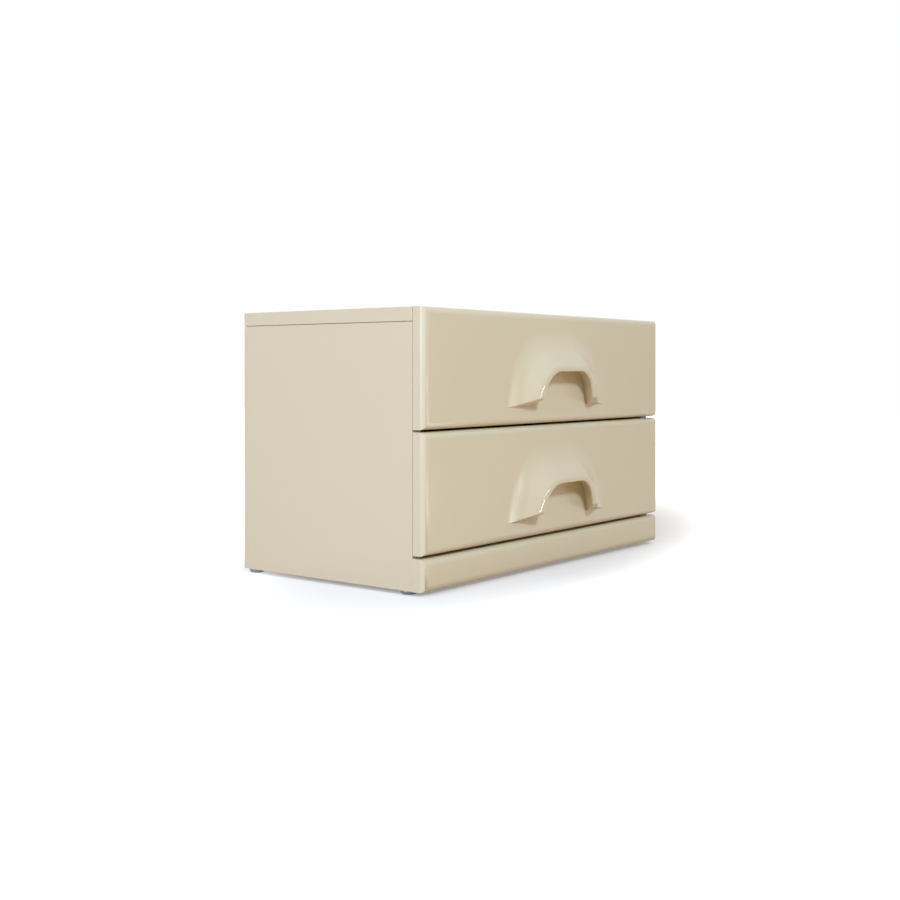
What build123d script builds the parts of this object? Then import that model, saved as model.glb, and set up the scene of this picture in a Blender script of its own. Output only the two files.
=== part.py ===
from build123d import *
import os
from math import atan, degrees, sqrt

# A low chest of two wide drawers in cream lacquer. Millimetres, +Z up, the drawers open towards -Y.
# The origin is on the floor, under the middle of the whole chest, with its handles.

os.makedirs("parts", exist_ok=True)

# The whole chest
width = 600.0
height = 360.0
body_depth = 323.0  # from the face of the drawer fronts to the back
hood_reach = 26.5  # how far the handles stand out from the fronts

# Boards of the carcass
board_t = 18.0
back_t = 4.0
back_rebate = 9.0  # how far the back laps onto the sides and the top
back_play = 0.3
seam_break = 0.6  # small bevels that draw the seam between the top and the sides

# Drawer fronts and plinth
front_t = 20.0
front_round = 9.0
shut_gap = 0.4  # between a shut drawer front and the carcass
plinth_h = 41.5
plinth_gap = 3.5
drawer_gap = 3.0
glue_block = 18.0
glue_block_len = 32.0

# Glides under the side panels
foot_h = 5.0
glide_r = 11.0
glide_flat_r = 5.0
glide_rim = 1.2
glide_steel = 0.8
glide_front_inset = 14.0  # from the front edge of the side panel to the middle of the glide
glide_back_inset = 14.5
nail_r = 1.6
nail_len = 16.0

# Drawer boxes
box_rise = 14.0  # lower edge of the box above the lower edge of its front
head_room = 11.5  # between the upper box and the top panel
rear_room = 29.0  # between the boxes and the back panel
box_side_t = 12.0
box_end_t = 12.0
box_housing = 4.0  # how far the ends are let into the sides
box_bottom_t = 4.0
groove_rise = 10.0
groove_d = 6.0
groove_play = 0.2
bottom_play = 0.3

# Roller runners
runner_room = 12.7  # between a box and the side panel
runner_setback = 20.0  # the runner is this much shorter than the box
runner_nose = 2.0  # from the carcass edge to the front end of the cabinet profile
member_nose = 1.0  # from the drawer front to the front end of the drawer profile
steel_t = 1.2
channel_w = 10.7
channel_lip = 3.0
roller_r = 8.0
roller_w = 5.0
roller_run = 0.3  # a roller above its track, or below its shelf
roller_inset = 12.0  # from a profile's end to its roller
roller_edge = 0.5
flange_room = 3.0  # the channel's upper flange starts this far behind the front roller
shelf_gap = 1.0  # between the channel and the drawer profile's shelf
shelf_edge = 2.0  # from the side panel to the shelf's free edge
seat_drop = 0.8  # the box's lower edge below the underside of the channel
front_roller_at = 3.6  # from the side panel to the roller's outer face
rear_roller_at = 4.2
axle_r = 2.5
axle_play = 0.08
axle_collar_r = 3.6
axle_head_r = 4.0
axle_head_t = 1.0
axle_end_play = 0.2
drawer_travel = 190.0
stop_rib = 3.0  # height and thickness of the rib that stops the drawer

# Screws and dowels
fastener_play = 0.1
runner_screw_r = 2.0
runner_screw_head_r = 3.5
runner_screw_len = 9.0
runner_screw_inset = 45.0  # from both ends of each profile
member_screw_w = 4.6  # above the underside of the channel
front_screw_r = 2.0
front_screw_head_r = 4.0
front_screw_head_t = 2.4
front_screw_grip = 13.0  # how far the screw goes into the drawer front
front_screw_x = 180.0
front_screw_margin = 26.0  # from the box's edges to the screws
back_screw_r = 1.5
back_screw_head_r = 3.0
back_screw_head_t = 1.8
back_screw_len = 14.0
back_screw_x = 110.0
dowel_r = 4.0
dowel_len = 30.0
dowel_bite = 12.0  # how deep the dowel goes into the board's face
dowel_end_play = 0.5
dowel_inset = 45.0

# The moulded hood of the handle, above the lower edge of its drawer front
hood_foot = 24.0  # lower edge of the legs, at the front
hood_foot_crest = 36.5  # and out at the crest
leg_spare = 34.0  # how much longer the legs are made before they are cut to their slope
hood_mid = 43.5  # height at which the half widths are given
hood_lean = 0.3  # how much the sides draw in for each millimetre upwards
hood_spread = 46.0  # how much wider the hood is at its root than at its crest, all round
crest_top = 76.5
crest_half = 65.5
crest_corner = 40.0
arch_top = 80.0
arch_half = 75.0
arch_corner = 44.0
arch_crest_top = 70.9
arch_crest_half = 56.5
arch_crest_corner = 32.0
crest_slope = 0.104  # how much the crest draws back for each millimetre downwards
hood_overrun = 1.1  # how far out the shapes run before the crest is cut, as a part of the reach
hood_blend = 28.0
crest_round = 5.5
rim_round = 2.6
leg_round = 1.6
edge_margin = 1.0  # what lies nearer to the board's edges than this belongs to them

# Places that follow from the sizes
face_y = (hood_reach - body_depth) / 2
front_back_y = face_y + front_t
carcass_y = front_back_y + shut_gap
back_y = face_y + body_depth
back_face_y = back_y - back_t
outer_x = width / 2
inner_x = outer_x - board_t
box_x = inner_x - runner_room

plinth_top_z = foot_h + plinth_h
bottom_z = plinth_top_z - board_t
top_under_z = height - board_t
front_h = (height - plinth_top_z - plinth_gap - drawer_gap) / 2
front_z = {"lower": plinth_top_z + plinth_gap, "upper": height - front_h}
hands = {"left": -1, "right": 1}

box_h = front_h - box_rise - board_t - head_room
box_len = body_depth - front_t - back_t - rear_room
box_back_y = front_back_y + box_len
runner_len = box_len - runner_setback

# Heights in the runner's section, above the underside of the channel
rear_axle_w = steel_t + roller_run + roller_r
channel_roof_w = rear_axle_w + roller_r + roller_run
channel_top_w = channel_roof_w + steel_t
shelf_w = channel_top_w + shelf_gap
front_axle_w = shelf_w - roller_run - roller_r

cabinet_y = carcass_y + runner_nose
member_y = front_back_y + member_nose
front_axle_y = cabinet_y + roller_inset
rear_axle_y = member_y + runner_len - roller_inset
runner_screw_places = (runner_screw_inset, runner_len - runner_screw_inset)
screw_hole_r = runner_screw_r + fastener_play
screw_sink_r = runner_screw_head_r + fastener_play


def block(x, y, z, mode=Mode.ADD):
    """A square block between a low and a high face along each axis."""
    with Locations(((x[0] + x[1]) / 2, (y[0] + y[1]) / 2, (z[0] + z[1]) / 2)):
        Box(abs(x[1] - x[0]), y[1] - y[0], z[1] - z[0], mode=mode)


def rod(start, end, r, mode=Mode.ADD):
    """A round bar, or with SUBTRACT a round hole, from one point to another."""
    reach = Vector(*end) - Vector(*start)
    with BuildSketch(Plane(origin=start, z_dir=reach)) as section:
        Circle(r)
    extrude(section.sketch, amount=reach.length, mode=mode)


def keep(piece, name):
    """Names a finished piece and writes it."""
    piece.part.label = name
    export_step(piece.part, f"parts/{name}.step")


def box_z(level):
    return front_z[level] + box_rise


def runner_z(level):
    return box_z(level) + seat_drop


def runner_point(hand, level, across, up):
    """X and Z of a point in a runner's section, given from the side panel inwards."""
    return hand * (inner_x - across), runner_z(level) + up


def profile(hand, level, corners, start, length):
    """A bar with the given section, from its front end backwards."""
    outline = [runner_point(hand, level, *corner) for corner in corners]
    with BuildSketch(Plane.XZ.offset(-start)) as section:
        Polygon(*outline, align=None)
    extrude(section.sketch, amount=-length)


def cross_rod(hand, level, across, y, up, r, mode=Mode.ADD):
    """A round bar or hole across a runner, between two distances from the side panel."""
    x1, z = runner_point(hand, level, across[0], up)
    x2, z = runner_point(hand, level, across[1], up)
    rod((x1, y, z), (x2, y, z), r, mode)


def top_dowels(hand):
    """The middles of the upright dowels between a side panel and the top."""
    x = hand * (outer_x - board_t / 2)
    return [(x, carcass_y + dowel_inset), (x, back_face_y - dowel_inset)]


def bottom_dowels():
    """The depth places of the level dowels between the bottom panel and a side."""
    return [carcass_y + dowel_inset, back_face_y - dowel_inset]


def back_screws():
    """Where the back is screwed on: up both sides, into the top and into the bottom."""
    side = inner_x + back_rebate / 2
    top = top_under_z + back_rebate / 2
    low = bottom_z + board_t / 2
    heights = [top_under_z - 2 * dowel_inset, (low + top) / 2, low + dowel_inset]
    places = [(hand * side, z) for hand in (-1, 1) for z in heights]
    return places + [(x, z) for x in (-back_screw_x, back_screw_x) for z in (low, top)]


def front_screws(level):
    """Where the drawer front is screwed to its box."""
    low, high = box_z(level) + front_screw_margin, box_z(level) + box_h - front_screw_margin
    return [(x, z) for x in (-front_screw_x, front_screw_x) for z in (low, high)]


def glide_places():
    """Names and middles of the four glides."""
    depths = {"front": carcass_y + glide_front_inset, "back": back_y - glide_back_inset}
    x = outer_x - glide_r
    return {f"{d}_{h}": (hands[h] * x, depths[d]) for d in depths for h in hands}


# Side panels, which stand on the glides and carry the top
for name, hand in hands.items():
    with BuildPart() as side_panel:
        block((hand * inner_x, hand * outer_x), (carcass_y, back_y), (foot_h, top_under_z))
        edge = side_panel.edges().filter_by(Axis.Y).group_by(Axis.Z)[-1].sort_by(Axis.X)
        chamfer(edge[-1 if hand > 0 else 0], seam_break)
        lap = (hand * inner_x, hand * (inner_x + back_rebate))
        block(lap, (back_face_y, back_y), (foot_h, top_under_z), Mode.SUBTRACT)
        for x, y in top_dowels(hand):
            start = (x, y, top_under_z - (dowel_len - dowel_bite) - dowel_end_play)
            rod(start, (x, y, top_under_z), dowel_r + fastener_play, Mode.SUBTRACT)
        for y in bottom_dowels():
            start = (hand * inner_x, y, bottom_z + board_t / 2)
            end = (hand * (inner_x + dowel_bite + dowel_end_play), y, start[2])
            rod(start, end, dowel_r + fastener_play, Mode.SUBTRACT)
        for level in front_z:
            for y in runner_screw_places:
                hole = ((0, -runner_screw_len), cabinet_y + y, rear_axle_w, screw_hole_r)
                cross_rod(hand, level, *hole, Mode.SUBTRACT)
        for x, z in back_screws():
            if x * hand > inner_x:
                end = (x, back_y - back_screw_len, z)
                rod((x, back_face_y, z), end, back_screw_r + fastener_play, Mode.SUBTRACT)
        for place, (x, y) in glide_places().items():
            if x * hand > 0:
                end = (x, y, foot_h + nail_len)
                rod((x, y, foot_h), end, nail_r + fastener_play, Mode.SUBTRACT)
    keep(side_panel, f"side_panel_{name}")

# Top panel, which lies on the sides with its ends flush
with BuildPart() as top_panel:
    block((-outer_x, outer_x), (carcass_y, back_y), (top_under_z, height))
    ends = top_panel.edges().filter_by(Axis.Y).group_by(Axis.Z)[0]
    chamfer(ends, seam_break)
    lap_x = inner_x + back_rebate
    lap_z = (top_under_z, top_under_z + back_rebate)
    block((-lap_x, lap_x), (back_face_y, back_y), lap_z, Mode.SUBTRACT)
    for hand in hands.values():
        for x, y in top_dowels(hand):
            end = (x, y, top_under_z + dowel_bite + dowel_end_play)
            rod((x, y, top_under_z), end, dowel_r + fastener_play, Mode.SUBTRACT)
    for x, z in back_screws():
        if z > top_under_z:
            end = (x, back_y - back_screw_len, z)
            rod((x, back_face_y, z), end, back_screw_r + fastener_play, Mode.SUBTRACT)
keep(top_panel, "top_panel")

# Bottom panel, level with the plinth's upper edge
with BuildPart() as bottom_panel:
    block((-inner_x, inner_x), (carcass_y, back_face_y), (bottom_z, plinth_top_z))
    for hand in hands.values():
        for y in bottom_dowels():
            start = (hand * inner_x, y, bottom_z + board_t / 2)
            bite = dowel_len - dowel_bite + dowel_end_play
            end = (hand * (inner_x - bite), y, start[2])
            rod(start, end, dowel_r + fastener_play, Mode.SUBTRACT)
    for x, z in back_screws():
        if z < plinth_top_z:
            end = (x, back_y - back_screw_len, z)
            rod((x, back_face_y, z), end, back_screw_r + fastener_play, Mode.SUBTRACT)
keep(bottom_panel, "bottom_panel")

# Back panel, let into the sides and the top and screwed from behind
with BuildPart() as back_panel:
    half = inner_x + back_rebate - back_play
    top = top_under_z + back_rebate - back_play
    block((-half, half), (back_face_y, back_y), (bottom_z, top))
    for x, z in back_screws():
        rod((x, back_face_y, z), (x, back_y, z), back_screw_r + fastener_play, Mode.SUBTRACT)
        sink = (x, back_y - back_screw_head_t, z)
        rod(sink, (x, back_y, z), back_screw_head_r + fastener_play, Mode.SUBTRACT)
keep(back_panel, "back_panel")

with BuildPart() as back_panel_screws:
    for x, z in back_screws():
        rod((x, back_y - back_screw_len, z), (x, back_y, z), back_screw_r)
        rod((x, back_y - back_screw_head_t, z), (x, back_y, z), back_screw_head_r)
keep(back_panel_screws, "back_panel_screws")

# Dowels, upright in the sides and the top, level in the sides and the bottom
with BuildPart() as carcass_dowels:
    for hand in hands.values():
        for x, y in top_dowels(hand):
            low = top_under_z + dowel_bite - dowel_len
            rod((x, y, low), (x, y, low + dowel_len), dowel_r)
        for y in bottom_dowels():
            z = bottom_z + board_t / 2
            start = (hand * (inner_x + dowel_bite), y, z)
            rod(start, (start[0] - hand * dowel_len, y, z), dowel_r)
keep(carcass_dowels, "carcass_dowels")

# Plinth board, glued across the front below the drawers, and its corner blocks
with BuildPart() as plinth:
    block((-outer_x, outer_x), (carcass_y - front_t, carcass_y), (foot_h, plinth_top_z))
    fillet(plinth.faces().sort_by(Axis.Y)[0].edges(), front_round)
keep(plinth, "plinth")

with BuildPart() as plinth_blocks:
    for hand in hands.values():
        across = (hand * (inner_x - glue_block), hand * inner_x)
        along = (carcass_y, carcass_y + glue_block_len)
        block(across, along, (bottom_z - glue_block, bottom_z))
keep(plinth_blocks, "plinth_blocks")

# Glides: a pressed steel dome with a flat foot, crimped round the head of a nail
for place, (x, y) in glide_places().items():
    with BuildPart() as glide:
        with BuildSketch(Plane(origin=(x, y, 0), x_dir=(1, 0, 0), z_dir=(0, -1, 0))):
            with BuildLine():
                shoulder = foot_h - glide_rim
                wall = glide_r - glide_steel
                Line((0, 0), (glide_flat_r, 0))
                RadiusArc((glide_flat_r, 0), (glide_r, shoulder), -glide_r)
                Polyline((glide_r, shoulder), (glide_r, foot_h), (wall, foot_h), (wall, shoulder))
                Polyline((wall, shoulder), (glide_flat_r, glide_steel), (0, glide_steel), (0, 0))
            make_face()
        revolve(axis=Axis((x, y, 0), (0, 0, 1)))
    keep(glide, f"glide_{place}")

with BuildPart() as glide_nails:
    for x, y in glide_places().values():
        rod((x, y, glide_steel), (x, y, foot_h), glide_flat_r)
        rod((x, y, foot_h), (x, y, foot_h + nail_len), nail_r)
keep(glide_nails, "glide_nails")


def arch_outline(level, foot, top, half, corner):
    """A leaning arch on a plane that lies level millimetres in front of the drawer's face."""

    def side(z):
        return half - hood_lean * (z - hood_mid)

    origin = (0, face_y - level, front_z["upper"])
    with BuildSketch(Plane(origin=origin, x_dir=(1, 0, 0), z_dir=(0, -1, 0))) as outline:
        corners = [(-side(foot), foot), (side(foot), foot), (side(top), top), (-side(top), top)]
        Polygon(*corners, align=None)
        fillet(outline.vertices().group_by(Axis.Y)[-1], corner)
    return outline.sketch


# A drawer front with its hooded handle, one lacquered piece, shaped in the upper drawer's place.
# The hood tapers evenly to its crest. Its legs and the board run on downwards until they are cut.
low_z = front_z["upper"]
spare_z = low_z - leg_spare
beyond = hood_overrun * hood_reach
with BuildPart() as shaped_front:
    block((-outer_x, outer_x), (face_y, front_back_y), (spare_z, low_z + front_h))
    half = crest_half + hood_spread * sqrt(1 + hood_lean**2)
    corner = crest_corner + hood_spread
    outline = arch_outline(0, hood_foot - leg_spare, crest_top + hood_spread, half, corner)
    extrude(outline, amount=beyond, taper=degrees(atan(hood_spread / hood_reach)))
    on_face = shaped_front.edges().filter_by_position(Axis.Y, face_y, face_y)
    inside = on_face.filter_by(lambda e: abs(e.center().X) < outer_x - edge_margin)
    fillet(inside.sort_by(Axis.Z)[2:-1], hood_blend)

    # The crest draws back downwards, and is rounded outside
    outwards = Axis((0, face_y - hood_reach, low_z + crest_top), (0, -1, -crest_slope))
    crest_plane = Plane(outwards.position, x_dir=(1, 0, 0), z_dir=outwards.direction)
    split(bisect_by=crest_plane, keep=Keep.BOTTOM)
    crest_edges = shaped_front.faces().sort_by(outwards)[-1].edges().sort_by(Axis.Z)
    fillet(crest_edges[1:], crest_round)

    # The legs end on a slope that rises to the crest, and the board at its lower edge
    rise = (hood_foot_crest - hood_foot) * beyond / hood_reach
    with BuildSketch(Plane.YZ) as under_legs:
        Polygon(
            (face_y, spare_z), (face_y, low_z + hood_foot),
            (face_y - beyond, low_z + hood_foot + rise), (face_y - beyond, spare_z),
            align=None,
        )
    extrude(under_legs.sketch, amount=outer_x, both=True, mode=Mode.SUBTRACT)
    block((-outer_x, outer_x), (face_y, front_back_y), (spare_z, low_z), Mode.SUBTRACT)

    # The hollow for the fingers, open in front and below
    arch = (arch_top, arch_half, arch_corner)
    arch_crest = (arch_crest_top, arch_crest_half, arch_crest_corner)
    far = [a + (b - a) * beyond / hood_reach for a, b in zip(arch, arch_crest)]
    hollow = [arch_outline(0, 0, *arch), arch_outline(beyond, 0, *far)]
    loft(hollow, ruled=True, mode=Mode.SUBTRACT)
    near_crest = face_y - hood_reach + crest_round
    rim = [
        e for e in shaped_front.edges(Select.LAST)
        if e.center().Y < near_crest and e.center().Z > low_z + hood_mid
    ]
    fillet(rim, rim_round)
    low_edges = shaped_front.edges().filter_by_position(Axis.Z, low_z + hood_foot, low_z + hood_mid)
    legs = [e for e in low_edges if abs((e @ 0).Y - (e @ 1).Y) > hood_reach / 2]
    fillet(legs, leg_round)

    # The rounded edges of the board
    on_face = shaped_front.edges().filter_by_position(Axis.Y, face_y, face_y)
    low, high = low_z + edge_margin, low_z + front_h - edge_margin
    board_edges = [
        e for e in on_face
        if abs(e.center().X) > outer_x - edge_margin or not low < e.center().Z < high
    ]
    fillet(board_edges, front_round)

for level in front_z:
    with BuildPart() as drawer_front:
        with Locations((0, 0, front_z[level] - front_z["upper"])):
            add(shaped_front.part)
        for x, z in front_screws(level):
            end = (x, front_back_y - front_screw_grip, z)
            rod((x, front_back_y, z), end, front_screw_r + fastener_play, Mode.SUBTRACT)
    keep(drawer_front, f"drawer_front_{level}")

    # The box behind the front: two sides, grooved for the bottom and housed for the ends
    low, high = box_z(level), box_z(level) + box_h
    groove = (low + groove_rise, low + groove_rise + box_bottom_t + groove_play)
    end_x = box_x - box_side_t + box_housing
    ends = {
        "inner_front": (front_back_y, front_back_y + box_end_t),
        "back": (box_back_y - box_end_t, box_back_y),
    }
    for name, hand in hands.items():
        with BuildPart() as box_side:
            inside = hand * (box_x - box_side_t)
            block((inside, hand * box_x), (front_back_y, box_back_y), (low, high))
            cut = (inside, inside + hand * groove_d)
            block(cut, (front_back_y, box_back_y), groove, Mode.SUBTRACT)
            for depth in ends.values():
                block((inside, hand * end_x), depth, (low, high), Mode.SUBTRACT)
            for y in runner_screw_places:
                span = (runner_room, runner_room + runner_screw_len)
                hole = (span, member_y + y, member_screw_w, screw_hole_r)
                cross_rod(hand, level, *hole, Mode.SUBTRACT)
        keep(box_side, f"drawer_side_{level}_{name}")

    # Both ends of the box, and its bottom in the grooves
    for name, depth in ends.items():
        with BuildPart() as box_end:
            block((-end_x, end_x), depth, (low, high))
            if name == "back":
                cut = (depth[0], depth[0] + groove_d)
            else:
                cut = (depth[1] - groove_d, depth[1])
                for x, z in front_screws(level):
                    hole_r = front_screw_r + fastener_play
                    rod((x, depth[0], z), (x, depth[1], z), hole_r, Mode.SUBTRACT)
            block((-end_x, end_x), cut, groove, Mode.SUBTRACT)
        keep(box_end, f"drawer_{name}_{level}")

    with BuildPart() as box_bottom:
        half = box_x - box_side_t + groove_d - bottom_play
        start = ends["inner_front"][1] - groove_d + bottom_play
        end = ends["back"][0] + groove_d - bottom_play
        block((-half, half), (start, end), (groove[0], groove[0] + box_bottom_t))
    keep(box_bottom, f"drawer_bottom_{level}")

    with BuildPart() as box_screws:
        for x, z in front_screws(level):
            head = front_back_y + box_end_t
            rod((x, front_back_y - front_screw_grip, z), (x, head, z), front_screw_r)
            rod((x, head, z), (x, head + front_screw_head_t, z), front_screw_head_r)
    keep(box_screws, f"drawer_front_screws_{level}")

# Roller runners: a channel on each side panel, and an angle with a shelf on each box
channel = [
    (0, 0), (channel_w, 0),
    (channel_w, steel_t + channel_lip), (channel_w - steel_t, steel_t + channel_lip),
    (channel_w - steel_t, steel_t), (steel_t, steel_t),
    (steel_t, channel_roof_w), (channel_w, channel_roof_w),
    (channel_w, channel_top_w), (0, channel_top_w),
]
member_web = runner_room - steel_t
angle = [
    (member_web, -seat_drop - steel_t), (runner_room + box_side_t, -seat_drop - steel_t),
    (runner_room + box_side_t, -seat_drop), (runner_room, -seat_drop),
    (runner_room, shelf_w + steel_t), (shelf_edge, shelf_w + steel_t),
    (shelf_edge, shelf_w), (member_web, shelf_w),
]
# The rear roller meets the rib on the channel's floor when the drawer is fully out
roller_at_rib = sqrt(roller_r**2 - (rear_axle_w - steel_t - stop_rib) ** 2)
rib_back_y = rear_axle_y - drawer_travel - roller_at_rib - roller_run
flange_cut = roller_inset + roller_r + flange_room

for level in front_z:
    for name, hand in hands.items():
        with BuildPart() as cabinet_runner:
            profile(hand, level, channel, cabinet_y, runner_len)
            rib = [
                (steel_t, steel_t), (channel_w - steel_t, steel_t),
                (channel_w - steel_t, steel_t + stop_rib), (steel_t, steel_t + stop_rib),
            ]
            profile(hand, level, rib, rib_back_y - stop_rib, stop_rib)
            x1, z1 = runner_point(hand, level, steel_t, channel_roof_w)
            x2, z2 = runner_point(hand, level, channel_w, channel_top_w)
            block((x1, x2), (cabinet_y, cabinet_y + flange_cut), (z1, z2), Mode.SUBTRACT)
            web = (0, steel_t)
            for y in runner_screw_places:
                hole = (web, cabinet_y + y, rear_axle_w, screw_sink_r)
                cross_rod(hand, level, *hole, Mode.SUBTRACT)
            hole = (web, front_axle_y, front_axle_w, axle_r + fastener_play)
            cross_rod(hand, level, *hole, Mode.SUBTRACT)
        keep(cabinet_runner, f"runner_cabinet_{level}_{name}")

        with BuildPart() as drawer_runner:
            profile(hand, level, angle, member_y, runner_len)
            web = (member_web, runner_room)
            for y in runner_screw_places:
                hole = (web, member_y + y, member_screw_w, screw_sink_r)
                cross_rod(hand, level, *hole, Mode.SUBTRACT)
            hole = (web, rear_axle_y, rear_axle_w, axle_r + fastener_play)
            cross_rod(hand, level, *hole, Mode.SUBTRACT)
        keep(drawer_runner, f"runner_drawer_{level}_{name}")

        with BuildPart() as front_roller:
            wheel = (front_roller_at, front_roller_at + roller_w)
            cross_rod(hand, level, wheel, front_axle_y, front_axle_w, roller_r)
            chamfer(front_roller.edges().filter_by(GeomType.CIRCLE), roller_edge)
            bore = (wheel, front_axle_y, front_axle_w, axle_r + axle_play)
            cross_rod(hand, level, *bore, Mode.SUBTRACT)
        keep(front_roller, f"roller_front_{level}_{name}")

        with BuildPart() as rear_roller:
            wheel = (rear_roller_at, rear_roller_at + roller_w)
            cross_rod(hand, level, wheel, rear_axle_y, rear_axle_w, roller_r)
            chamfer(rear_roller.edges().filter_by(GeomType.CIRCLE), roller_edge)
            bore = (wheel, rear_axle_y, rear_axle_w, axle_r + axle_play)
            cross_rod(hand, level, *bore, Mode.SUBTRACT)
        keep(rear_roller, f"roller_rear_{level}_{name}")

# Rivets that the rollers turn on: riveted into the channels in front, into the angles behind
with BuildPart() as front_rivets:
    for level in front_z:
        for hand in hands.values():
            at = (front_axle_y, front_axle_w)
            collar_end = front_roller_at - axle_end_play
            head = front_roller_at + roller_w + axle_end_play
            cross_rod(hand, level, (0, head), *at, axle_r)
            cross_rod(hand, level, (steel_t, collar_end), *at, axle_collar_r)
            cross_rod(hand, level, (head, head + axle_head_t), *at, axle_head_r)
keep(front_rivets, "roller_rivets_front")

for level in front_z:
    with BuildPart() as rear_rivets:
        for hand in hands.values():
            at = (rear_axle_y, rear_axle_w)
            head = rear_roller_at - axle_end_play
            collar_end = rear_roller_at + roller_w + axle_end_play
            cross_rod(hand, level, (runner_room, head), *at, axle_r)
            cross_rod(hand, level, (collar_end, member_web), *at, axle_collar_r)
            cross_rod(hand, level, (head - axle_head_t, head), *at, axle_head_r)
    keep(rear_rivets, f"roller_rivets_rear_{level}")

# Flat screws, sunk flush in the runners
with BuildPart() as cabinet_screws:
    for level in front_z:
        for hand in hands.values():
            for y in runner_screw_places:
                at = (cabinet_y + y, rear_axle_w)
                cross_rod(hand, level, (steel_t, -runner_screw_len), *at, runner_screw_r)
                cross_rod(hand, level, (0, steel_t), *at, runner_screw_head_r)
keep(cabinet_screws, "runner_screws_cabinet")

for level in front_z:
    with BuildPart() as member_screws:
        for hand in hands.values():
            for y in runner_screw_places:
                at = (member_y + y, member_screw_w)
                tip = runner_room + runner_screw_len
                cross_rod(hand, level, (member_web, tip), *at, runner_screw_r)
                cross_rod(hand, level, (member_web, runner_room), *at, runner_screw_head_r)
    keep(member_screws, f"runner_screws_drawer_{level}")
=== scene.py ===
import bmesh
import bpy
from math import atan, pi, radians, sqrt, tan
from mathutils import Matrix, Vector


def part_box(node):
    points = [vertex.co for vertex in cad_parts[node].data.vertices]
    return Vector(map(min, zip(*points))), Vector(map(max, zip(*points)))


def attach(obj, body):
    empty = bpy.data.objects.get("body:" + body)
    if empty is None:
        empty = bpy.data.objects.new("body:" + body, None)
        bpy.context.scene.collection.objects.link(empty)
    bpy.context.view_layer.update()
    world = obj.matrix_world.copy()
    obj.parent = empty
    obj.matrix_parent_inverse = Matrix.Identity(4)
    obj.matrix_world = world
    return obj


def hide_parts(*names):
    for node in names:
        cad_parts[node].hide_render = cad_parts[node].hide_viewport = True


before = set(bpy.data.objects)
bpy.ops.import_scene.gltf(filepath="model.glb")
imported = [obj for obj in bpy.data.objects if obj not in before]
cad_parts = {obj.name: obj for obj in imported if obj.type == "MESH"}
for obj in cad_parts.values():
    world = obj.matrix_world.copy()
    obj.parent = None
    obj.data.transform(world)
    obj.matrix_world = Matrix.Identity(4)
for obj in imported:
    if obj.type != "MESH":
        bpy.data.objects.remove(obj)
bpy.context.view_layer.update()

# A low chest of two drawers in cream lacquer. Each piece takes its place from the CAD node it stands for,
# in metres. The dictionaries beside the pieces are in millimetres and degrees.
mm = 0.001
samePlace = 1e-6  # metres, under which two points count as one


def pick(piece):
    bpy.ops.object.select_all(action="DESELECT")
    piece.select_set(True)
    bpy.context.view_layer.objects.active = piece


def selectNothing(piece, kind):
    bpy.ops.mesh.select_mode(type=kind)
    bpy.ops.mesh.select_all(action="DESELECT")
    return bmesh.from_edit_mesh(piece.data)


def openMesh(piece, kind="EDGE"):
    pick(piece)
    bpy.ops.object.mode_set(mode="EDIT")
    return selectNothing(piece, kind)


def closeMesh():
    bpy.ops.object.mode_set(mode="OBJECT")


def applyPlace(piece, name):
    piece.name = name
    piece.data.name = name
    bpy.ops.object.transform_apply(location=True, rotation=True, scale=True)
    return piece


def addBlock(name, low, high):
    bpy.ops.object.select_all(action="DESELECT")
    middle = [(a + b) / 2 for a, b in zip(low, high)]
    size = [b - a for a, b in zip(low, high)]
    bpy.ops.mesh.primitive_cube_add(size=1, location=middle, scale=size)
    return applyPlace(bpy.context.object, name)


def combine(piece, tool, operation):
    pick(piece)
    change = piece.modifiers.new("combine", "BOOLEAN")
    change.object = tool
    change.operation = operation
    change.solver = "EXACT"
    bpy.ops.object.modifier_apply(modifier=change.name)
    bpy.data.objects.remove(tool)


def roundEdges(piece, wanted, width, steps, measure="OFFSET"):
    mesh = openMesh(piece)
    for edge in mesh.edges:
        if wanted(edge):
            edge.select_set(True)
    bmesh.update_edit_mesh(piece.data)
    bpy.ops.mesh.bevel(
        offset=width * mm, offset_type=measure, segments=steps, affect="EDGES", clamp_overlap=False)
    closeMesh()


def trim(piece, place, outwards):
    openMesh(piece)
    bpy.ops.mesh.select_all(action="SELECT")
    bpy.ops.mesh.bisect(plane_co=place, plane_no=outwards, use_fill=True, clear_outer=True)
    closeMesh()


def finishShade(piece, angle=40):
    pick(piece)
    bpy.ops.object.shade_smooth_by_angle(angle=radians(angle))
    steady = piece.modifiers.new("steadyNormals", "WEIGHTED_NORMAL")
    steady.keep_sharp = True
    bpy.ops.object.modifier_apply(modifier=steady.name)


def isSharp(edge, least=60):
    return edge.is_manifold and edge.calc_face_angle() > radians(least)


# Materials

def linearFromHex(code):
    channels = [int(code[i:i + 2], 16) / 255 for i in (1, 3, 5)]
    return [c / 12.92 if c <= 0.04045 else ((c + 0.055) / 1.055) ** 2.4 for c in channels] + [1]


def newMaterial(name):
    material = bpy.data.materials.new(name)
    material.use_nodes = True
    return material, material.node_tree.nodes["Principled BSDF"]


# Inputs that share their name go by number. In a Mix node 0 is the factor, 2 and 3 are its two numbers,
# and 6 and 7 its two colours
def addNode(material, kind, settings=None, links=None):
    tree = material.node_tree
    node = tree.nodes.new(kind)
    for name, value in (settings or {}).items():
        if isinstance(name, int) or name in node.inputs:
            node.inputs[name].default_value = value
        else:
            setattr(node, name, value)
    for name, output in (links or {}).items():
        tree.links.new(output, node.inputs[name])
    return node


def linkShader(material, shader, links):
    for name, output in links.items():
        material.node_tree.links.new(output, shader.inputs[name])


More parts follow.
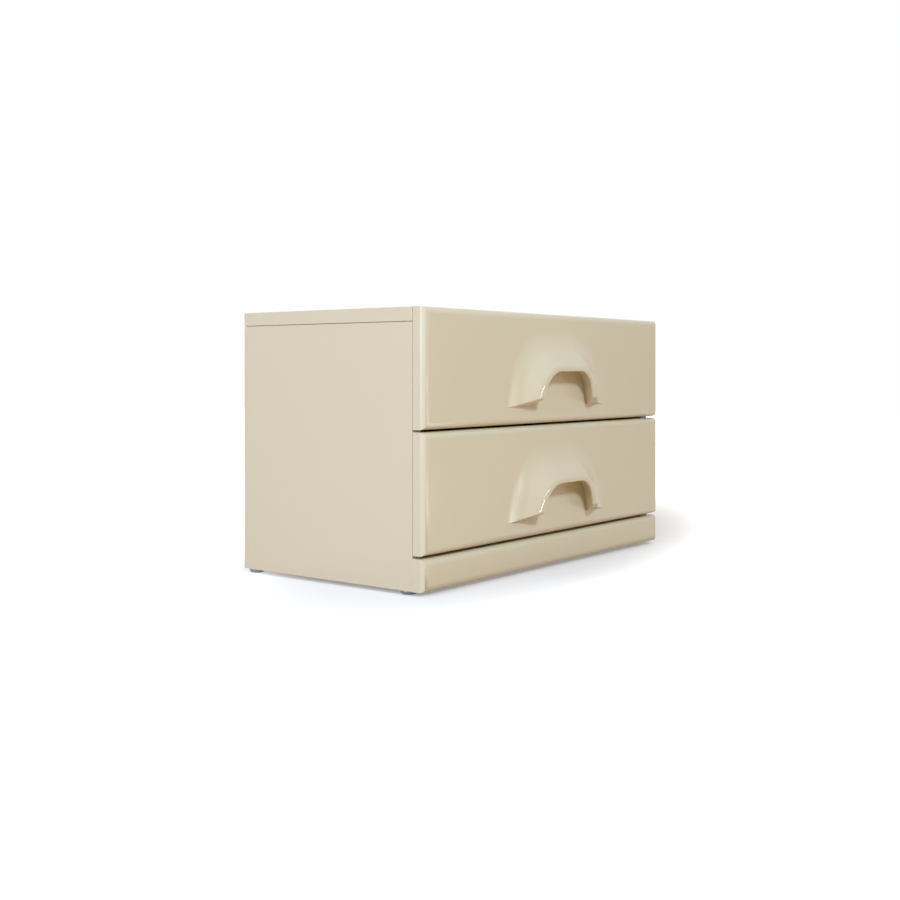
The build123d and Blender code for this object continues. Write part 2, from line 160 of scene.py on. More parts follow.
def makeLacquer():
    # Two-pack cream lacquer, sprayed on board: satin gloss, a faint orange peel, an almost even colour.
    # The crests of the hoods are polished by the hands that pull them.
    finish = {
        "colour": "#DBD2BE", "thinner": "#D9CFBA", "cloud": 280.0,
        "peel": 3.0, "peelHeight": 0.004, "peelStrength": 0.5,
        "shine": (0.25, 0.268), "polished": 0.1, "polishFrom": -166.0, "polishTo": -169.0,
    }
    material, shader = newMaterial("sprayed_cream_lacquer")
    place = addNode(material, "ShaderNodeTexCoord").outputs["Object"]
    cloud = addNode(
        material, "ShaderNodeTexNoise", {"Scale": 1 / (finish["cloud"] * mm), "Detail": 2.0},
        {"Vector": place})
    tint = addNode(material, "ShaderNodeMix", {
        "data_type": "RGBA", 6: linearFromHex(finish["colour"]), 7: linearFromHex(finish["thinner"]),
    }, {0: cloud.outputs["Fac"]})
    gloss = addNode(
        material, "ShaderNodeMapRange", {"To Min": finish["shine"][0], "To Max": finish["shine"][1]},
        {"Value": cloud.outputs["Fac"]})
    depth = addNode(material, "ShaderNodeSeparateXYZ", None, {0: place})
    worn = addNode(
        material, "ShaderNodeMapRange",
        {"From Min": finish["polishFrom"] * mm, "From Max": finish["polishTo"] * mm},
        {"Value": depth.outputs["Y"]})
    shine = addNode(material, "ShaderNodeMix", {3: finish["polished"]}, {
        0: worn.outputs["Result"], 2: gloss.outputs["Result"]})
    peel = addNode(
        material, "ShaderNodeTexNoise", {"Scale": 1 / (finish["peel"] * mm), "Detail": 1.0},
        {"Vector": place})
    bump = addNode(
        material, "ShaderNodeBump",
        {"Strength": finish["peelStrength"], "Distance": finish["peelHeight"] * mm},
        {"Height": peel.outputs["Fac"]})
    linkShader(material, shader, {
        "Base Color": tint.outputs[2], "Roughness": shine.outputs[0], "Normal": bump.outputs["Normal"],
    })
    return material


def makePlywood(name, thickness, length):
    # Birch plywood, sanded and clear lacquered: long pale grain on its faces, striped plies on its edges.
    # thickness and length are the axes, 0 to 2, across its plies and along its grain
    finish = {
        "pale": "#E3CCA3", "dark": "#D2B283", "grainWidth": 14.3, "grainLength": 250.0,
        "ply": 1.4, "light": "#E0C79C", "cross": "#B98F5E",
        "roughness": 0.45, "grainHeight": 0.05, "grainStrength": 0.25,
    }
    material, shader = newMaterial(name)
    coordinates = addNode(material, "ShaderNodeTexCoord")
    place = coordinates.outputs["Object"]
    stretch = [1 / (finish["grainWidth"] * mm)] * 3
    stretch[length] = 1 / (finish["grainLength"] * mm)
    along = addNode(material, "ShaderNodeMapping", {"Scale": stretch}, {"Vector": place})
    grain = addNode(
        material, "ShaderNodeTexNoise",
        {"Scale": 1.0, "Detail": 5.0, "Roughness": 0.6, "Distortion": 0.6},
        {"Vector": along.outputs["Vector"]})
    streak = addNode(
        material, "ShaderNodeMapRange", {"From Min": 0.35, "From Max": 0.7}, {"Value": grain.outputs["Fac"]})
    face = addNode(material, "ShaderNodeMix", {
        "data_type": "RGBA", 6: linearFromHex(finish["pale"]), 7: linearFromHex(finish["dark"]),
    }, {0: streak.outputs["Result"]})

    # Every second ply shows its end grain, which is darker
    placeParts = addNode(material, "ShaderNodeSeparateXYZ", None, {0: place})
    step = addNode(material, "ShaderNodeMath", {
        "operation": "MULTIPLY", 1: 1 / (2 * finish["ply"] * mm)}, {0: placeParts.outputs[thickness]})
    stripe = addNode(material, "ShaderNodeMath", {"operation": "FRACT"}, {0: step.outputs[0]})
    second = addNode(
        material, "ShaderNodeMapRange", {"From Min": 0.46, "From Max": 0.54}, {"Value": stripe.outputs[0]})
    edge = addNode(material, "ShaderNodeMix", {
        "data_type": "RGBA", 6: linearFromHex(finish["light"]), 7: linearFromHex(finish["cross"]),
    }, {0: second.outputs["Result"]})
    normalParts = addNode(material, "ShaderNodeSeparateXYZ", None, {0: coordinates.outputs["Normal"]})
    facing = addNode(
        material, "ShaderNodeMath", {"operation": "ABSOLUTE"}, {0: normalParts.outputs[thickness]})
    isFace = addNode(
        material, "ShaderNodeMath", {"operation": "GREATER_THAN", 1: 0.5}, {0: facing.outputs[0]})
    colour = addNode(material, "ShaderNodeMix", {"data_type": "RGBA"}, {
        0: isFace.outputs[0], 6: edge.outputs[2], 7: face.outputs[2]})
    bump = addNode(
        material, "ShaderNodeBump",
        {"Strength": finish["grainStrength"], "Distance": finish["grainHeight"] * mm},
        {"Height": grain.outputs["Fac"]})
    shader.inputs["Roughness"].default_value = finish["roughness"]
    linkShader(material, shader, {"Base Color": colour.outputs[2], "Normal": bump.outputs["Normal"]})
    return material


def makeHardboard():
    # Oil-tempered hardboard, pressed wood fibre: brown, mottled, with the press screen's weave on it.
    # The real screen is finer, about 1.5 mm, and is drawn at 3 mm so that it shows
    finish = {
        "light": "#977657", "dark": "#765A40", "fibre": 3.6, "screen": 3.0,
        "roughness": 0.72, "screenHeight": 0.15, "screenStrength": 0.6,
    }
    material, shader = newMaterial("pressed_hardboard")
    place = addNode(material, "ShaderNodeTexCoord").outputs["Object"]
    fibre = addNode(
        material, "ShaderNodeTexNoise",
        {"Scale": 1 / (finish["fibre"] * mm), "Detail": 6.0, "Roughness": 0.7}, {"Vector": place})
    mottle = addNode(
        material, "ShaderNodeMapRange", {"From Min": 0.3, "From Max": 0.7}, {"Value": fibre.outputs["Fac"]})
    colour = addNode(material, "ShaderNodeMix", {
        "data_type": "RGBA", 6: linearFromHex(finish["dark"]), 7: linearFromHex(finish["light"]),
    }, {0: mottle.outputs["Result"]})
    bands = 2 * pi / 20 / (finish["screen"] * mm)  # a wave node's band is 2 pi / 20 wide at a scale of 1
    rows = addNode(
        material, "ShaderNodeTexWave", {"bands_direction": "X", "Scale": bands}, {"Vector": place})
    columns = addNode(
        material, "ShaderNodeTexWave", {"bands_direction": "Z", "Scale": bands}, {"Vector": place})
    weave = addNode(material, "ShaderNodeMath", {"operation": "MULTIPLY"}, {
        0: rows.outputs["Fac"], 1: columns.outputs["Fac"]})
    bump = addNode(
        material, "ShaderNodeBump",
        {"Strength": finish["screenStrength"], "Distance": finish["screenHeight"] * mm},
        {"Height": weave.outputs[0]})
    shader.inputs["Roughness"].default_value = finish["roughness"]
    linkShader(material, shader, {"Base Color": colour.outputs[2], "Normal": bump.outputs["Normal"]})
    return material


def makeBeech():
    # Steamed beech, turned or planed: pinkish brown with short darker flecks along the grain
    finish = {
        "pale": "#D6AE83", "fleck": "#B98A5C", "fleckWidth": 1.1, "fleckLength": 8.3, "roughness": 0.6,
    }
    material, shader = newMaterial("turned_beech")
    place = addNode(material, "ShaderNodeTexCoord").outputs["Object"]
    across, length = 1 / (finish["fleckWidth"] * mm), 1 / (finish["fleckLength"] * mm)
    along = addNode(material, "ShaderNodeMapping", {"Scale": (across, across, length)}, {"Vector": place})
    fleck = addNode(
        material, "ShaderNodeTexNoise", {"Scale": 1.0, "Detail": 3.0}, {"Vector": along.outputs["Vector"]})
    some = addNode(
        material, "ShaderNodeMapRange", {"From Min": 0.5, "From Max": 0.7}, {"Value": fleck.outputs["Fac"]})
    colour = addNode(material, "ShaderNodeMix", {
        "data_type": "RGBA", 6: linearFromHex(finish["pale"]), 7: linearFromHex(finish["fleck"]),
    }, {0: some.outputs["Result"]})
    shader.inputs["Roughness"].default_value = finish["roughness"]
    linkShader(material, shader, {"Base Color": colour.outputs[2]})
    return material


def makePowderCoat():
    # Cream powder coat, baked on rolled steel profiles: an even fine texture, a soft sheen
    finish = {
        "colour": "#E2DDD0", "dusty": "#D8D2C4", "cloud": 40.0, "grain": 0.9,
        "roughness": 0.42, "grainHeight": 0.03, "grainStrength": 0.4,
    }
    material, shader = newMaterial("cream_powder_coat")
    place = addNode(material, "ShaderNodeTexCoord").outputs["Object"]
    grain = addNode(
        material, "ShaderNodeTexNoise", {"Scale": 1 / (finish["grain"] * mm), "Detail": 2.0},
        {"Vector": place})
    cloud = addNode(
        material, "ShaderNodeTexNoise", {"Scale": 1 / (finish["cloud"] * mm), "Detail": 3.0},
        {"Vector": place})
    colour = addNode(material, "ShaderNodeMix", {
        "data_type": "RGBA", 6: linearFromHex(finish["colour"]), 7: linearFromHex(finish["dusty"]),
    }, {0: cloud.outputs["Fac"]})
    bump = addNode(
        material, "ShaderNodeBump",
        {"Strength": finish["grainStrength"], "Distance": finish["grainHeight"] * mm},
        {"Height": grain.outputs["Fac"]})
    shader.inputs["Roughness"].default_value = finish["roughness"]
    linkShader(material, shader, {"Base Color": colour.outputs[2], "Normal": bump.outputs["Normal"]})
    return material


def makeNylon():
    # Natural nylon, injection moulded: milky white, a faint flow mottle, a waxy gloss
    finish = {"colour": "#EFEDE4", "deeper": "#E4E1D5", "flow": 5.5, "roughness": 0.36}
    material, shader = newMaterial("moulded_nylon")
    place = addNode(material, "ShaderNodeTexCoord").outputs["Object"]
    cloud = addNode(
        material, "ShaderNodeTexNoise", {"Scale": 1 / (finish["flow"] * mm), "Detail": 2.0},
        {"Vector": place})
    colour = addNode(material, "ShaderNodeMix", {
        "data_type": "RGBA", 6: linearFromHex(finish["colour"]), 7: linearFromHex(finish["deeper"]),
    }, {0: cloud.outputs["Fac"]})
    shader.inputs["Roughness"].default_value = finish["roughness"]
    linkShader(material, shader, {"Base Color": colour.outputs[2]})
    return material


def makeMetal(name, finish):
    # Plated steel: the colour changes a little from spot to spot, and the shine with it
    material, shader = newMaterial(name)
    place = addNode(material, "ShaderNodeTexCoord").outputs["Object"]
    cloud = addNode(
        material, "ShaderNodeTexNoise", {"Scale": 1 / (finish["spot"] * mm), "Detail": 3.0},
        {"Vector": place})
    tint = addNode(material, "ShaderNodeMix", {
        "data_type": "RGBA", 6: linearFromHex(finish["colour"]), 7: linearFromHex(finish["deeper"]),
    }, {0: cloud.outputs["Fac"]})
    gloss = addNode(
        material, "ShaderNodeMapRange", {"To Min": finish["shine"][0], "To Max": finish["shine"][1]},
        {"Value": cloud.outputs["Fac"]})
    shader.inputs["Metallic"].default_value = 1.0
    linkShader(material, shader, {"Base Color": tint.outputs[2], "Roughness": gloss.outputs["Result"]})
    return material


# Zinc plate is a dull blue white, and this old chrome plate is darker and shinier
zincPlate = {"colour": "#CDCFD0", "deeper": "#B4B7B9", "shine": (0.28, 0.42), "spot": 4.0}
chromePlate = {"colour": "#8F9194", "deeper": "#7C7E81", "shine": (0.16, 0.24), "spot": 6.0}

finishes = {
    "cream_lacquer": makeLacquer(),
    "plywood_sides": makePlywood("birch_plywood_sides", 0, 1),
    "plywood_ends": makePlywood("birch_plywood_ends", 1, 0),
    "plywood_bottoms": makePlywood("birch_plywood_bottoms", 2, 0),
    "hardboard": makeHardboard(),
    "beech": makeBeech(),
    "runner_steel": makePowderCoat(),
    "nylon": makeNylon(),
    "zinc_screws": makeMetal("zinc_plated_steel", zincPlate),
    "chromed_steel": makeMetal("chrome_plated_steel", chromePlate),
}
print("materials made:", len(finishes))


def dress(piece, finish):
    piece.data.materials.clear()
    piece.data.materials.append(finishes[finish])


# Drawer fronts with their moulded hoods

# Heights are above the lower edge of the drawer front. Half widths are given at midHeight, and lean is how
# much they draw in for each millimetre upwards. The arch is the hollow for the fingers
hood = {
    "reach": 26.5, "spread": 36.0, "midHeight": 43.5, "lean": 0.3,
    "foot": 24.0, "footAtCrest": 36.5, "legSpare": 34.0,  # the legs are made longer and then cut
    "crestTop": 78.2, "crestHalf": 67.8, "crestCorner": 42.0, "crestSlope": 0.104,
    "archTop": 80.0, "archHalf": 75.0, "archCorner": 44.0,
    "archCrestTop": 70.9, "archCrestHalf": 56.5, "archCrestCorner": 32.0,
    "beyond": 1.1, "cornerSteps": 20,  # how far out the shapes run before the crest is cut, in reaches
    "blend": 50.0, "blendSteps": 10, "blendAngle": 10,
    "crestRound": 10.0, "crestSteps": 6, "crestTurn": 0.03,  # the sloped crest adds this to half the angle
    "rimRound": 2.6, "rimWidth": 1.62, "rimSteps": 10, "rimAngle": 90,
    "legRound": 1.8, "legSteps": 4, "legAngle": 45, "thinLeg": 3.0,
    "flatAngle": 0.05,
}
board = {"thickness": 20.0, "edgeRound": 9.0, "edgeSteps": 8, "arris": 0.6, "arrisSteps": 2}


def archFace(name, y, base, foot, top, half, corner):
    # An upright plane whose sides lean inwards and whose upper corners are rounded
    bpy.ops.object.select_all(action="DESELECT")
    bpy.ops.mesh.primitive_plane_add(size=1, rotation=(pi / 2, 0, 0), location=(0, y, base))
    piece = applyPlace(bpy.context.object, name)
    mesh = openMesh(piece, "VERT")
    for vertex in mesh.verts:
        upper = vertex.co.z > base
        z = top if upper else foot
        x = half - hood["lean"] * (z - hood["midHeight"])
        vertex.co = ((x if vertex.co.x > 0 else -x) * mm, y, base + z * mm)
        vertex.select_set(upper)
    bmesh.update_edit_mesh(piece.data)
    turn = pi / 2 - atan(hood["lean"])
    bpy.ops.mesh.bevel(
        offset=corner * mm * tan(turn / 2), segments=hood["cornerSteps"], affect="VERTICES",
        clamp_overlap=False)
    # The bevel gives an oval corner, which is laid on its true circle here
    mesh = bmesh.from_edit_mesh(piece.data)
    halfAtCentre = half - hood["lean"] * (top - corner - hood["midHeight"])
    centreX = halfAtCentre - corner * sqrt(1 + hood["lean"] ** 2)
    for vertex in mesh.verts:
        if vertex.co.z > base + (foot + 1) * mm:
            side = 1 if vertex.co.x > 0 else -1
            centre = Vector((side * centreX * mm, y, base + (top - corner) * mm))
            vertex.co = centre + (vertex.co - centre).normalized() * corner * mm
    bmesh.update_edit_mesh(piece.data)
    closeMesh()
    return piece


def makeHood(y, base):
    # The outline at the root is inset outwards to the crest, all round by the same width
    root = hood["crestHalf"] + hood["spread"] * sqrt(1 + hood["lean"] ** 2)
    piece = archFace(
        "hood", y, base, hood["foot"] - hood["legSpare"], hood["crestTop"] + hood["spread"], root,
        hood["crestCorner"] + hood["spread"])
    openMesh(piece, "FACE")
    bpy.ops.mesh.select_all(action="SELECT")
    bpy.ops.mesh.inset(
        thickness=hood["beyond"] * hood["spread"] * mm, depth=hood["beyond"] * hood["reach"] * mm)
    mesh = selectNothing(piece, "EDGE")
    for edge in mesh.edges:
        if edge.is_boundary:
            edge.select_set(True)
    bmesh.update_edit_mesh(piece.data)
    # A collar lets the hood into the board, so that the two join cleanly
    bpy.ops.mesh.extrude_region_move(
        TRANSFORM_OT_translate={"value": (0, board["thickness"] / 2 * mm, 0)})
    bpy.ops.mesh.edge_face_add()
    bpy.ops.mesh.select_all(action="SELECT")
    bpy.ops.mesh.normals_make_consistent(inside=False)
    closeMesh()
    return piece


def makeHollow(y, base, foot):
    # The hollow for the fingers narrows evenly from the board to the crest and beyond
    near = (hood["archTop"], hood["archHalf"], hood["archCorner"])
    crest = (hood["archCrestTop"], hood["archCrestHalf"], hood["archCrestCorner"])
    far = [a + (b - a) * hood["beyond"] for a, b in zip(near, crest)]
    piece = archFace("hollow", y, base, foot, *near)
    mouth = archFace("mouth", y - hood["beyond"] * hood["reach"] * mm, base, foot, *far)
    bpy.ops.object.select_all(action="DESELECT")
    mouth.select_set(True)
    piece.select_set(True)
    bpy.context.view_layer.objects.active = piece
    bpy.ops.object.join()
    openMesh(piece, "FACE")
    bpy.ops.mesh.select_all(action="SELECT")
    bpy.ops.mesh.delete(type="ONLY_FACE")
    selectNothing(piece, "EDGE")
    bpy.ops.mesh.select_all(action="SELECT")
    bpy.ops.mesh.bridge_edge_loops()
    bpy.ops.mesh.select_all(action="SELECT")
    bpy.ops.mesh.fill_holes(sides=0)
    bpy.ops.mesh.select_all(action="SELECT")
    bpy.ops.mesh.normals_make_consistent(inside=False)
    closeMesh()
    return piece


def makeFront(node):
    low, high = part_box(node)
    face = high.y - board["thickness"] * mm
    longFoot = hood["foot"] - hood["legSpare"]
    spareLow = low.z - hood["legSpare"] * mm
    piece = addBlock("lacquered_" + node, (low.x, face, spareLow), high)
    combine(piece, makeHood(face, low.z), "UNION")

    def onFace(edge):
        return all(abs(v.co.y - face) < samePlace for v in edge.verts)

    # The hood's outline on the board, without the ends of its legs and the board's own edges
    def isRoot(edge):
        inside = all(
            abs(v.co.x) < high.x - mm and spareLow + mm < v.co.z < high.z - mm for v in edge.verts)
        legEnd = all(abs(v.co.z - low.z - longFoot * mm) < samePlace for v in edge.verts)
        return onFace(edge) and inside and not legEnd and isSharp(edge, hood["blendAngle"])

    slope = atan(hood["reach"] / hood["spread"])
    roundEdges(piece, isRoot, hood["blend"] * tan(slope / 2), hood["blendSteps"])

    # The crest draws back downwards, and is rounded outside but not across the ends of the legs
    crestPlace = Vector((0, face - hood["reach"] * mm, low.z + hood["crestTop"] * mm))
    crestWay = Vector((0, -1, -hood["crestSlope"])).normalized()
    trim(piece, crestPlace, crestWay)

    def isOnCrest(vertex):
        return abs((vertex.co - crestPlace).dot(crestWay)) < samePlace

    def onCrest(edge):
        return all(isOnCrest(v) for v in edge.verts)

    crestFoot = min(v.co.z for v in piece.data.vertices if isOnCrest(v))

    def isCrest(edge):
        return onCrest(edge) and not all(abs(v.co.z - crestFoot) < samePlace for v in edge.verts)

    roundEdges(
        piece, isCrest, hood["crestRound"] * tan(slope / 2 + hood["crestTurn"]), hood["crestSteps"])
    combine(piece, makeHollow(face, low.z, longFoot / 2), "DIFFERENCE")

    # The board ends at its lower edge, and the legs on a slope that rises to the crest
    trim(piece, (0, 0, low.z), (0, 0, -1))
    footPlace = Vector((0, face, low.z + hood["foot"] * mm))
    rise = (hood["footAtCrest"] - hood["foot"]) / hood["reach"]
    footWay = Vector((0, -rise, -1)).normalized()
    # A wedge, wider and twice as deep as the hood
    wedge = addBlock(
        "wedge", (-high.x / 2, face - 2 * hood["reach"] * mm, low.z - hood["foot"] * mm),
        (high.x / 2, face, low.z + hood["foot"] * mm))
    mesh = openMesh(wedge)
    for vertex in mesh.verts:
        if vertex.co.z > low.z and vertex.co.y < face - mm:
            vertex.co.z += rise * 2 * hood["reach"] * mm
    bmesh.update_edit_mesh(wedge.data)
    closeMesh()
    combine(piece, wedge, "DIFFERENCE")

    openMesh(piece)
    bpy.ops.mesh.select_all(action="SELECT")
    bpy.ops.mesh.dissolve_limited(angle_limit=radians(hood["flatAngle"]))
    closeMesh()

    def onFoot(edge):
        return all(abs((v.co - footPlace).dot(footWay)) < 2 * samePlace for v in edge.verts)

    def isRim(edge):
        return onCrest(edge) and not onFoot(edge) and isSharp(edge, hood["rimAngle"])

    # The legs thin out to nothing at the board, and stay crisp there
    def isLegEdge(edge):
        thick = all(face - v.co.y > hood["thinLeg"] * mm for v in edge.verts)
        return onFoot(edge) and thick and isSharp(edge, hood["legAngle"])

    # The rim is measured across its round, so that it is as wide at its top as at its sides
    roundEdges(piece, isRim, hood["rimRound"] * hood["rimWidth"], hood["rimSteps"], "WIDTH")
    roundEdges(piece, isLegEdge, hood["legRound"], hood["legSteps"])

    def isBoardEdge(edge):
        side = all(abs(abs(v.co.x) - high.x) < samePlace for v in edge.verts)
        level = any(all(abs(v.co.z - z) < samePlace for v in edge.verts) for z in (low.z, high.z))
        return onFace(edge) and (side or level)

    roundEdges(piece, isBoardEdge, board["edgeRound"], board["edgeSteps"])

    def isBackEdge(edge):
        return all(abs(v.co.y - high.y) < samePlace for v in edge.verts)

    roundEdges(piece, isBackEdge, board["arris"], board["arrisSteps"])
    finishShade(piece)
    return piece


upperFront = makeFront("drawer_front_upper")
pick(upperFront)
bpy.ops.object.duplicate()
lowerFront = bpy.context.object
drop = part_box("drawer_front_lower")[0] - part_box("drawer_front_upper")[0]
lowerFront.data.transform(Matrix.Translation(drop))
lowerFront.name = lowerFront.data.name = "lacquered_drawer_front_lower"
for level, piece in (("upper", upperFront), ("lower", lowerFront)):
    dress(piece, "cream_lacquer")
    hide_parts("drawer_front_" + level)
    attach(piece, "drawer_" + level)
print("drawer fronts made:", len(upperFront.data.polygons), "faces each")

# Panels and plinth

panel = {"arris": 0.6, "arrisSteps": 3, "backPlay": 0.3, "grooveWidth": 0.8, "grooveDepth": 3.0}


def makePanel(node):
    low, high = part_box(node)
    piece = addBlock("lacquered_" + node, low, high)
    backLow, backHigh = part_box("back_panel")
    play = panel["backPlay"] * mm
    # The back is let into the rear edges
    lap = addBlock(
        "lap", (backLow.x - play, backLow.y, backLow.z - play if node == "top_panel" else low.z - mm),
        (backHigh.x + play, high.y + mm, backHigh.z + play))
    combine(piece, lap, "DIFFERENCE")
    if node != "top_panel":
        # A fine groove under the top makes their seam read dark
        deep = panel["grooveDepth"] * mm
        start = low.x if node == "side_panel_left" else high.x - deep
        groove = addBlock(
            "groove", (start, low.y - mm, high.z - panel["grooveWidth"] * mm),
            (start + deep, high.y + mm, high.z + mm))
        combine(piece, groove, "DIFFERENCE")
    roundEdges(
        piece, lambda edge: edge.is_convex and isSharp(edge), panel["arris"], panel["arrisSteps"])
    finishShade(piece)
    return piece


for node in ("top_panel", "side_panel_left", "side_panel_right"):
    piece = makePanel(node)
    dress(piece, "cream_lacquer")
    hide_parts(node)
    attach(piece, "cabinet")

# The plinth has the section of the drawer fronts
low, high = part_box("plinth")
plinth = addBlock("lacquered_plinth", low, high)
roundEdges(
    plinth, lambda edge: all(abs(v.co.y - low.y) < samePlace for v in edge.verts), board["edgeRound"],
    board["edgeSteps"])
finishShade(plinth)
dress(plinth, "cream_lacquer")
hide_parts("plinth")
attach(plinth, "cabinet")
print("panels and plinth made")

# Glides, pressed steel domes

glide = {
    "flat": 5.0, "bulge": 0.28, "domeSteps": 8, "steps": 64,  # bulge is the dome's rise, in chords
    "steel": 0.8, "rim": 1.2, "crimpIn": 0.2, "crimpDown": 0.3, "start": 0.9, "smoothAngle": 50,
}


def makeGlide(node):
    low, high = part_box(node)
    x, y = (low.x + high.x) / 2, (low.y + high.y) / 2
    r = (high.x - low.x) / 2 / mm
    top = high.z / mm
    shoulder = top - glide["rim"]
    start = glide["flat"] * glide["start"]
    bpy.ops.object.select_all(action="DESELECT")
    bpy.ops.mesh.primitive_circle_add(
        vertices=glide["steps"], radius=start * mm, fill_type="NGON", location=(x, y, 0))
    piece = applyPlace(bpy.context.object, "chromed_" + node)
    # Ring by ring: the flat foot, the dome, the crimped rim, and back inside
    dome = []
    chord = Vector((r - glide["flat"], shoulder))
    for step in range(glide["domeSteps"] + 1):
        t = step / glide["domeSteps"]
        way = Vector((glide["flat"], 0)) + chord * t
        side = Vector((chord.y, -chord.x)) * glide["bulge"] * 4 * t * (1 - t)
        dome.append((way.x + side.x, max(way.y + side.y, 0)))
    rings = dome + [
        (r, top - glide["crimpDown"]), (r - glide["crimpIn"], top),
        (r - glide["steel"], top), (r - glide["steel"], shoulder)]
    openMesh(piece, "EDGE")
    bpy.ops.mesh.select_all(action="SELECT")
    bpy.ops.mesh.delete(type="ONLY_FACE")
    bpy.ops.mesh.select_all(action="SELECT")
    radius, height = start, 0.0
    for ring in rings:
        bpy.ops.mesh.extrude_region_move(
            TRANSFORM_OT_translate={"value": (0, 0, (ring[1] - height) * mm)})
        grow = ring[0] / radius
        bpy.ops.transform.resize(value=(grow, grow, 1), center_override=(x, y, ring[1] * mm))
        radius, height = ring
    bpy.ops.mesh.edge_face_add()
    mesh = selectNothing(piece, "EDGE")
    for edge in mesh.edges:
        if edge.is_boundary:
            edge.select_set(True)
    bmesh.update_edit_mesh(piece.data)
    bpy.ops.mesh.edge_face_add()
    bpy.ops.mesh.select_all(action="SELECT")
    bpy.ops.mesh.normals_make_consistent(inside=False)
    closeMesh()
    finishShade(piece, glide["smoothAngle"])
    return piece


for place in ("front", "back"):
    for hand in ("left", "right"):
        node = f"glide_{place}_{hand}"
        piece = makeGlide(node)
        dress(piece, "chromed_steel")
        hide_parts(node)
        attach(piece, "cabinet")
print("glides made")

# CAD nodes that stay, by the start of their names. All others are screws, nails and rivets

nodeFinishes = {
    "drawer_side": "plywood_sides", "drawer_inner_front": "plywood_ends", "drawer_back": "plywood_ends",
    "drawer_bottom": "plywood_bottoms", "back_panel_screws": "zinc_screws", "back_panel": "hardboard",
    "carcass_dowels": "beech", "plinth_blocks": "beech",
    "runner_cabinet": "runner_steel", "runner_drawer": "runner_steel",
    "roller_front": "nylon", "roller_rear": "nylon", "bottom_panel": "cream_lacquer",
}
for name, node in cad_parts.items():
    if not node.hide_render:
        found = [finish for start, finish in nodeFinishes.items() if name.startswith(start)]
        dress(node, found[0] if found else "zinc_screws")
print("inner pieces dressed")

# Floor, background, lamps and camera

studio = {
    "floorHalf": 6.0, "floorSeen": "#D9DAE2", "floorColour": "#CBA97C", "floorRoughness": 0.9,
    "paintedShadowGlow": 0.27, "farGlow": 0.9, "glowFrom": 0.87, "glowTo": 1.65,
    "paintedShadeMiddle": (0.16, 0.064, 0.0), "paintedShadeReach": (0.57, 0.232, 1.0), "paintedShadeTurn": 17.0,
    "ambient": (0.5, 0.44, 0.34, 1), "paper": (1, 1, 1, 1),
}
# The two low lamps give the glint on the left leg of each hood, and only shine in the gloss
lamps = {
    "key": {
        "power": 22.5, "colour": (0.82, 1.0, 1.12), "size": (0.3, 0.3),
        "place": (-0.94, -1.73, 1.43), "lightsSurfaces": True},
    "fill": {
        "power": 17.7, "colour": (0.79, 1.0, 1.27), "size": (1.0, 1.0),
        "place": (-2.2, 0.05, 0.7), "lightsSurfaces": True},
    "upperGlint": {
        "power": 1.2, "colour": (1.0, 1.0, 1.0), "size": (0.4, 0.04),
        "place": (0.445, -1.335, 0.275), "lightsSurfaces": False},
    "lowerGlint": {
        "power": 0.5, "colour": (1.0, 1.0, 1.0), "size": (0.2, 0.025),
        "place": (0.207, -0.807, 0.042), "lightsSurfaces": False},
}
aimHeight = 0.18  # the lamps look at the middle of the chest, and the lowest of them level


def addLamp(name, lamp):
    data = bpy.data.lights.new(name, "AREA")
    data.shape = "RECTANGLE"
    data.size, data.size_y = lamp["size"]
    data.energy = lamp["power"]
    data.color = lamp["colour"]
    piece = bpy.data.objects.new(name, data)
    piece.location = lamp["place"]
    aim = Vector((0, 0, min(lamp["place"][2], aimHeight)))
    piece.rotation_euler = (aim - piece.location).to_track_quat("-Z", "Y").to_euler()
    piece.visible_camera = False
    piece.visible_diffuse = lamp["lightsSurfaces"]
    bpy.context.scene.collection.objects.link(piece)


# A pale sweep, which the camera and the gloss see near white, as it glows. Its glow is dimmed in a tilted
# oval beside the chest, which paints a shadow on the floor there, over the lamps' real one. Towards the
# chest it throws a warm light back, which fills the shaded places
bpy.ops.object.select_all(action="DESELECT")
bpy.ops.mesh.primitive_plane_add(size=2 * studio["floorHalf"], location=(0, 0, 0))
floor = applyPlace(bpy.context.object, "pale_floor")
floorPaint, floorShader = newMaterial("white_sweep")
light = addNode(floorPaint, "ShaderNodeLightPath")
seen = addNode(floorPaint, "ShaderNodeMath", {"operation": "MAXIMUM"}, {
    0: light.outputs["Is Camera Ray"], 1: light.outputs["Is Glossy Ray"]})
place = addNode(floorPaint, "ShaderNodeTexCoord").outputs["Object"]
# The tilted oval where the floor's glow is dimmed: a painted floor shadow
spread = addNode(floorPaint, "ShaderNodeMapping", {
    "vector_type": "TEXTURE", "Location": studio["paintedShadeMiddle"], "Scale": studio["paintedShadeReach"],
    "Rotation": (0, 0, radians(studio["paintedShadeTurn"]))}, {"Vector": place})
away = addNode(floorPaint, "ShaderNodeVectorMath", {"operation": "LENGTH"}, {0: spread.outputs["Vector"]})
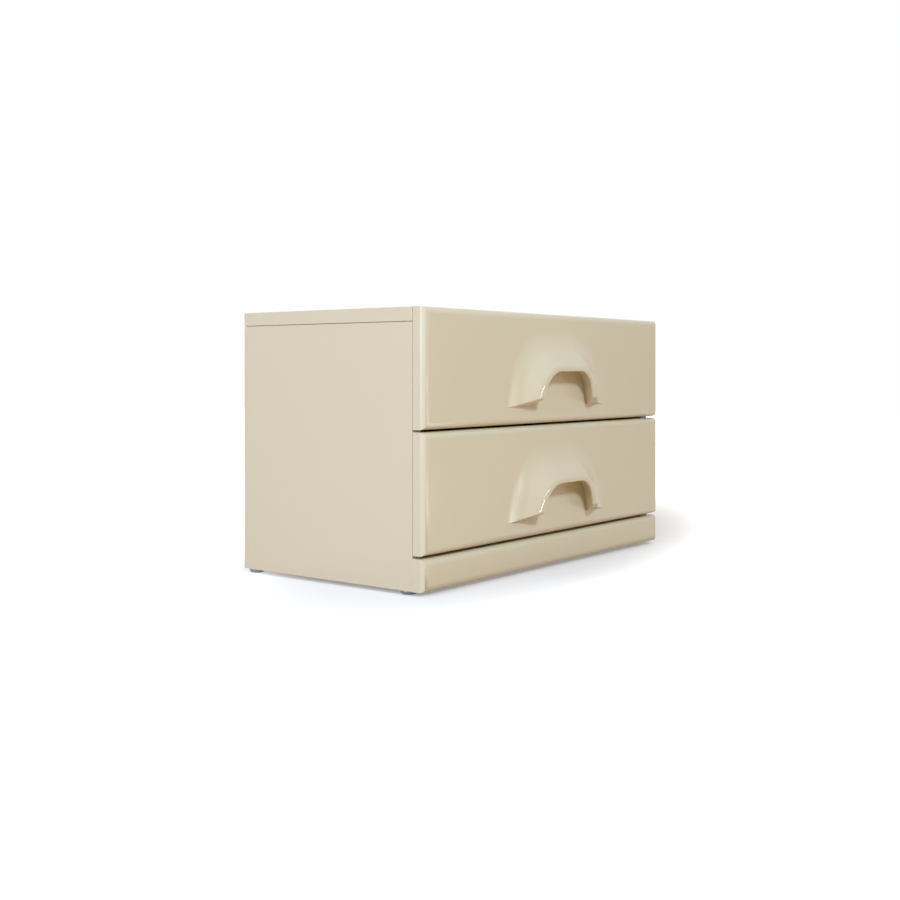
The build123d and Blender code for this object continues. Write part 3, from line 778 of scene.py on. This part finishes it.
glow = addNode(floorPaint, "ShaderNodeMapRange", {
    "interpolation_type": "SMOOTHSTEP", "From Min": studio["glowFrom"], "From Max": studio["glowTo"],
    "To Min": studio["paintedShadowGlow"], "To Max": studio["farGlow"]}, {"Value": away.outputs["Value"]})
boost = addNode(floorPaint, "ShaderNodeMath", {"operation": "MULTIPLY"}, {
    0: seen.outputs[0], 1: glow.outputs["Result"]})
floorShader.inputs["Roughness"].default_value = studio["floorRoughness"]
floorShader.inputs["Specular IOR Level"].default_value = 0.0
floorShader.inputs["Emission Color"].default_value = studio["paper"]
paint = addNode(floorPaint, "ShaderNodeMix", {
    "data_type": "RGBA", 6: linearFromHex(studio["floorColour"]), 7: linearFromHex(studio["floorSeen"]),
}, {0: seen.outputs[0]})
linkShader(floorPaint, floorShader, {"Base Color": paint.outputs[2], "Emission Strength": boost.outputs[0]})
floor.data.materials.append(floorPaint)

# White paper behind, which doesn't light the chest
world = bpy.data.worlds.new("studio")
bpy.context.scene.world = world
world.use_nodes = True
background = world.node_tree.nodes["Background"]
path = addNode(world, "ShaderNodeLightPath")
seenAny = addNode(world, "ShaderNodeMath", {"operation": "MAXIMUM"}, {
    0: path.outputs["Is Camera Ray"], 1: path.outputs["Is Glossy Ray"]})
seenAll = addNode(world, "ShaderNodeMath", {"operation": "MAXIMUM"}, {
    0: seenAny.outputs[0], 1: path.outputs["Is Transmission Ray"]})
paper = addNode(world, "ShaderNodeMix", {"data_type": "RGBA", 6: studio["ambient"], 7: studio["paper"]}, {
    0: seenAll.outputs[0]})
linkShader(world, background, {"Color": paper.outputs[2]})

for name, lamp in lamps.items():
    addLamp(name, lamp)

# rise is 80 of the picture's 900 pixels
view = {
    "place": (-1.4703, -1.09255, 0.2809), "yaw": -52.28, "lens": 48.84, "sensor": 36.0, "rise": -80 / 900,
}
cameraData = bpy.data.cameras.new("camera")
cameraData.lens = view["lens"]
cameraData.sensor_width = view["sensor"]
cameraData.shift_y = view["rise"]
camera = bpy.data.objects.new("camera", cameraData)
camera.location = view["place"]
camera.rotation_euler = (pi / 2, 0, radians(view["yaw"]))
bpy.context.scene.collection.objects.link(camera)
bpy.context.scene.camera = camera
bpy.context.scene.view_settings.view_transform = "Standard"
print("studio ready")
